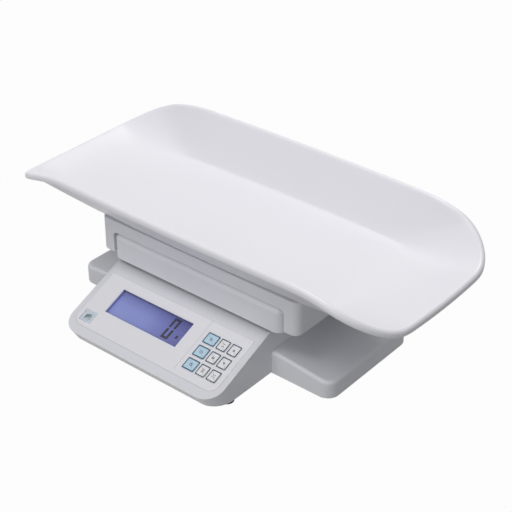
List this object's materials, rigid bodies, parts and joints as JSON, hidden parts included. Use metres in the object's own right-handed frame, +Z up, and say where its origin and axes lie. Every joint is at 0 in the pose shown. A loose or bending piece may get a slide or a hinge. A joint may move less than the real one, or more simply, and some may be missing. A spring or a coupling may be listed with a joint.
{
  "type": "baby weighing scale",
  "caption": "Digital baby weighing scale with a curved open-ended cradle tray on a load cell platform and a sloping display console.",
  "frame": {"origin": "middle of the footprint's box, on the surface that the feet stand on", "axes": "+X along the tray, to the right of someone who reads the display; +Y to the back, away from the display; +Z up"},
  "size_m": [0.59, 0.3356, 0.1837],
  "materials": {
    "white_plastic": "smooth satin moulding",
    "grey_plastic": "fine satin moulding",
    "panel_sheet": "fine satin sheet",
    "key_white": "smooth satin",
    "key_blue": "smooth satin",
    "clear_plastic": "clear and smooth",
    "milky_plastic": "translucent sheet",
    "display_glass": "smooth, dark lilac blue",
    "dark_plastic": "fine moulding",
    "circuit_board": "lacquered",
    "aluminium": "machined",
    "steel": "plated",
    "rubber": "soft, dull",
    "battery_wrap": "smooth wrap"
  },
  "bodies": {
    "base": {"backlight": "milky_plastic", "base_cover": "grey_plastic", "base_plate": "steel", "base_screw_1": "steel", "base_screw_2": "steel", "base_screw_3": "steel", "base_screw_4": "steel", "battery_1": "battery_wrap", "battery_2": "battery_wrap", "battery_3": "battery_wrap", "battery_4": "battery_wrap", "battery_contact_left": "steel", "battery_contact_right": "steel", "buzzer": "dark_plastic", "cell_base_screw_1": "steel", "cell_base_screw_2": "steel", "console_floor": "grey_plastic", "console_housing": "grey_plastic", "console_screw_1": "steel", "console_screw_2": "steel", "console_screw_3": "steel", "console_screw_4": "steel", "display_board": "circuit_board", "display_cable": "dark_plastic", "display_frame": "dark_plastic", "display_glass": "display_glass", "display_window": "clear_plastic", "face_overlay": "panel_sheet", "level_vial": "clear_plastic", "level_window": "clear_plastic", "load_cell": "aluminium", "load_cell_cable": "dark_plastic", "main_board": "circuit_board", "overload_stop": "steel", "power_inlet": "dark_plastic", "switch_sheet": "milky_plastic"},
    "platform": {"platform_cover": "grey_plastic", "platform_bracket": "aluminium", "cell_top_screw_1": "steel", "cell_top_screw_2": "steel"},
    "tray": {"tray_shell": "white_plastic", "tray_mount": "grey_plastic"},
    "battery_cover": {"battery_cover": "grey_plastic"},
    "key_1_button": {"key_1": "key_blue"},
    "key_2_button": {"key_2": "key_white"},
    "key_3_button": {"key_3": "key_white"},
    "key_4_button": {"key_4": "key_blue"},
    "key_5_button": {"key_5": "key_white"},
    "key_6_button": {"key_6": "key_white"},
    "key_7_button": {"key_7": "key_blue"},
    "key_8_button": {"key_8": "key_white"},
    "key_9_button": {"key_9": "key_white"},
    "foot_front_left": {"foot_pad_front_left": "rubber"},
    "stud_front_left": {"foot_stud_front_left": "dark_plastic"},
    "foot_front_right": {"foot_pad_front_right": "rubber"},
    "stud_front_right": {"foot_stud_front_right": "dark_plastic"},
    "foot_rear_left": {"foot_pad_rear_left": "rubber"},
    "stud_rear_left": {"foot_stud_rear_left": "dark_plastic"},
    "foot_rear_right": {"foot_pad_rear_right": "rubber"},
    "stud_rear_right": {"foot_stud_rear_right": "dark_plastic"}
  },
  "joints": [
    {"name": "platform_travel", "type": "slide", "parent": "base", "child": "platform", "axis": [0, 0, 1], "range_m": [-0.0005, 0], "stiffness_N_per_m": 30000, "springref_m": 0.0015},
    {"name": "tray_lift", "type": "slide", "parent": "platform", "child": "tray", "axis": [0, 0, 1], "range_m": [0, 0.06]},
    {"name": "battery_cover_release", "type": "slide", "parent": "base", "child": "battery_cover", "axis": [0, 0, -1], "range_m": [0, 0.03]},
    {"name": "key_1_press", "type": "slide", "parent": "base", "child": "key_1_button", "axis": [0, 0.3915, -0.9202], "range_m": [0, 0.0004], "stiffness_N_per_m": 800, "springref_m": -0.0003},
    {"name": "key_2_press", "type": "slide", "parent": "base", "child": "key_2_button", "axis": [0, 0.3915, -0.9202], "range_m": [0, 0.0004], "stiffness_N_per_m": 800, "springref_m": -0.0003},
    {"name": "key_3_press", "type": "slide", "parent": "base", "child": "key_3_button", "axis": [0, 0.3915, -0.9202], "range_m": [0, 0.0004], "stiffness_N_per_m": 800, "springref_m": -0.0003},
    {"name": "key_4_press", "type": "slide", "parent": "base", "child": "key_4_button", "axis": [0, 0.3915, -0.9202], "range_m": [0, 0.0004], "stiffness_N_per_m": 800, "springref_m": -0.0003},
    {"name": "key_5_press", "type": "slide", "parent": "base", "child": "key_5_button", "axis": [0, 0.3915, -0.9202], "range_m": [0, 0.0004], "stiffness_N_per_m": 800, "springref_m": -0.0003},
    {"name": "key_6_press", "type": "slide", "parent": "base", "child": "key_6_button", "axis": [0, 0.3915, -0.9202], "range_m": [0, 0.0004], "stiffness_N_per_m": 800, "springref_m": -0.0003},
    {"name": "key_7_press", "type": "slide", "parent": "base", "child": "key_7_button", "axis": [0, 0.3915, -0.9202], "range_m": [0, 0.0004], "stiffness_N_per_m": 800, "springref_m": -0.0003},
    {"name": "key_8_press", "type": "slide", "parent": "base", "child": "key_8_button", "axis": [0, 0.3915, -0.9202], "range_m": [0, 0.0004], "stiffness_N_per_m": 800, "springref_m": -0.0003},
    {"name": "key_9_press", "type": "slide", "parent": "base", "child": "key_9_button", "axis": [0, 0.3915, -0.9202], "range_m": [0, 0.0004], "stiffness_N_per_m": 800, "springref_m": -0.0003},
    {"name": "foot_front_left_height", "type": "slide", "parent": "base", "child": "foot_front_left", "axis": [0, 0, -1], "range_m": [0, 0.005]},
    {"name": "foot_front_left_turn", "type": "hinge", "parent": "foot_front_left", "child": "stud_front_left", "pos_m": [-0.1194, -0.1262, 0], "axis": [0, 0, -1], "range_deg": [0, 1440]},
    {"name": "foot_front_right_height", "type": "slide", "parent": "base", "child": "foot_front_right", "axis": [0, 0, -1], "range_m": [0, 0.005]},
    {"name": "foot_front_right_turn", "type": "hinge", "parent": "foot_front_right", "child": "stud_front_right", "pos_m": [0.1026, -0.1262, 0], "axis": [0, 0, -1], "range_deg": [0, 1440]},
    {"name": "foot_rear_left_height", "type": "slide", "parent": "base", "child": "foot_rear_left", "axis": [0, 0, -1], "range_m": [0, 0.005]},
    {"name": "foot_rear_left_turn", "type": "hinge", "parent": "foot_rear_left", "child": "stud_rear_left", "pos_m": [-0.182, 0.0834, 0], "axis": [0, 0, -1], "range_deg": [0, 1440]},
    {"name": "foot_rear_right_height", "type": "slide", "parent": "base", "child": "foot_rear_right", "axis": [0, 0, -1], "range_m": [0, 0.005]},
    {"name": "foot_rear_right_turn", "type": "hinge", "parent": "foot_rear_right", "child": "stud_rear_right", "pos_m": [0.182, 0.0834, 0], "axis": [0, 0, -1], "range_deg": [0, 1440]}
  ],
  "couplings": [
    {"joint": "foot_front_left_turn", "follows": "foot_front_left_height", "rad_per_m": 5026.5},
    {"joint": "foot_front_right_turn", "follows": "foot_front_right_height", "rad_per_m": 5026.5},
    {"joint": "foot_rear_left_turn", "follows": "foot_rear_left_height", "rad_per_m": 5026.5},
    {"joint": "foot_rear_right_turn", "follows": "foot_rear_right_height", "rad_per_m": 5026.5}
  ]
}
